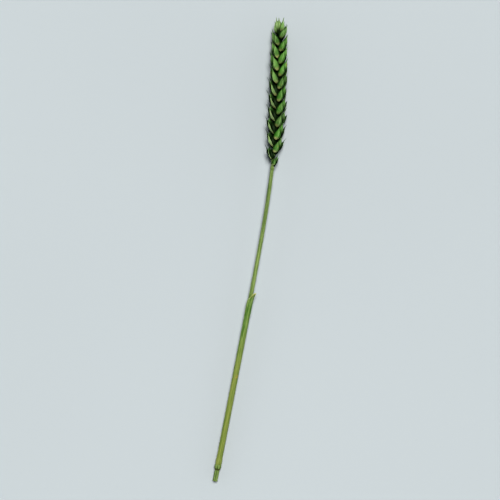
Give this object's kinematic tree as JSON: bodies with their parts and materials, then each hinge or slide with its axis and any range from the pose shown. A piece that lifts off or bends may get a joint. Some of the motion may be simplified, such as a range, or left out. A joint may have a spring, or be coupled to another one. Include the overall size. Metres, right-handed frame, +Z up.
{
  "type": "wheat ear",
  "caption": "Ear of wheat on its cut stem, lying on its side: overlapping keeled husks with short beaks in rows on a bent stalk, with a rolled leaf sheath round its lower part.",
  "frame": {"origin": "on the surface the ear lies on, under the middle of its outline box", "axes": "+Z up from that surface, +Y from the cut end of the stem to the tip of the ear, +X to the right of the ear seen from above with its tip away"},
  "size_m": [0.0452, 0.2798, 0.0109],
  "materials": {
    "ear_husk": "matt dyed green husk",
    "stem": "satin yellow-green straw",
    "sheath": "satin green leaf sheath"
  },
  "bodies": {
    "root": {"ear": "ear_husk", "stem": "stem", "leaf_sheath": "sheath"}
  },
  "joints": []
}
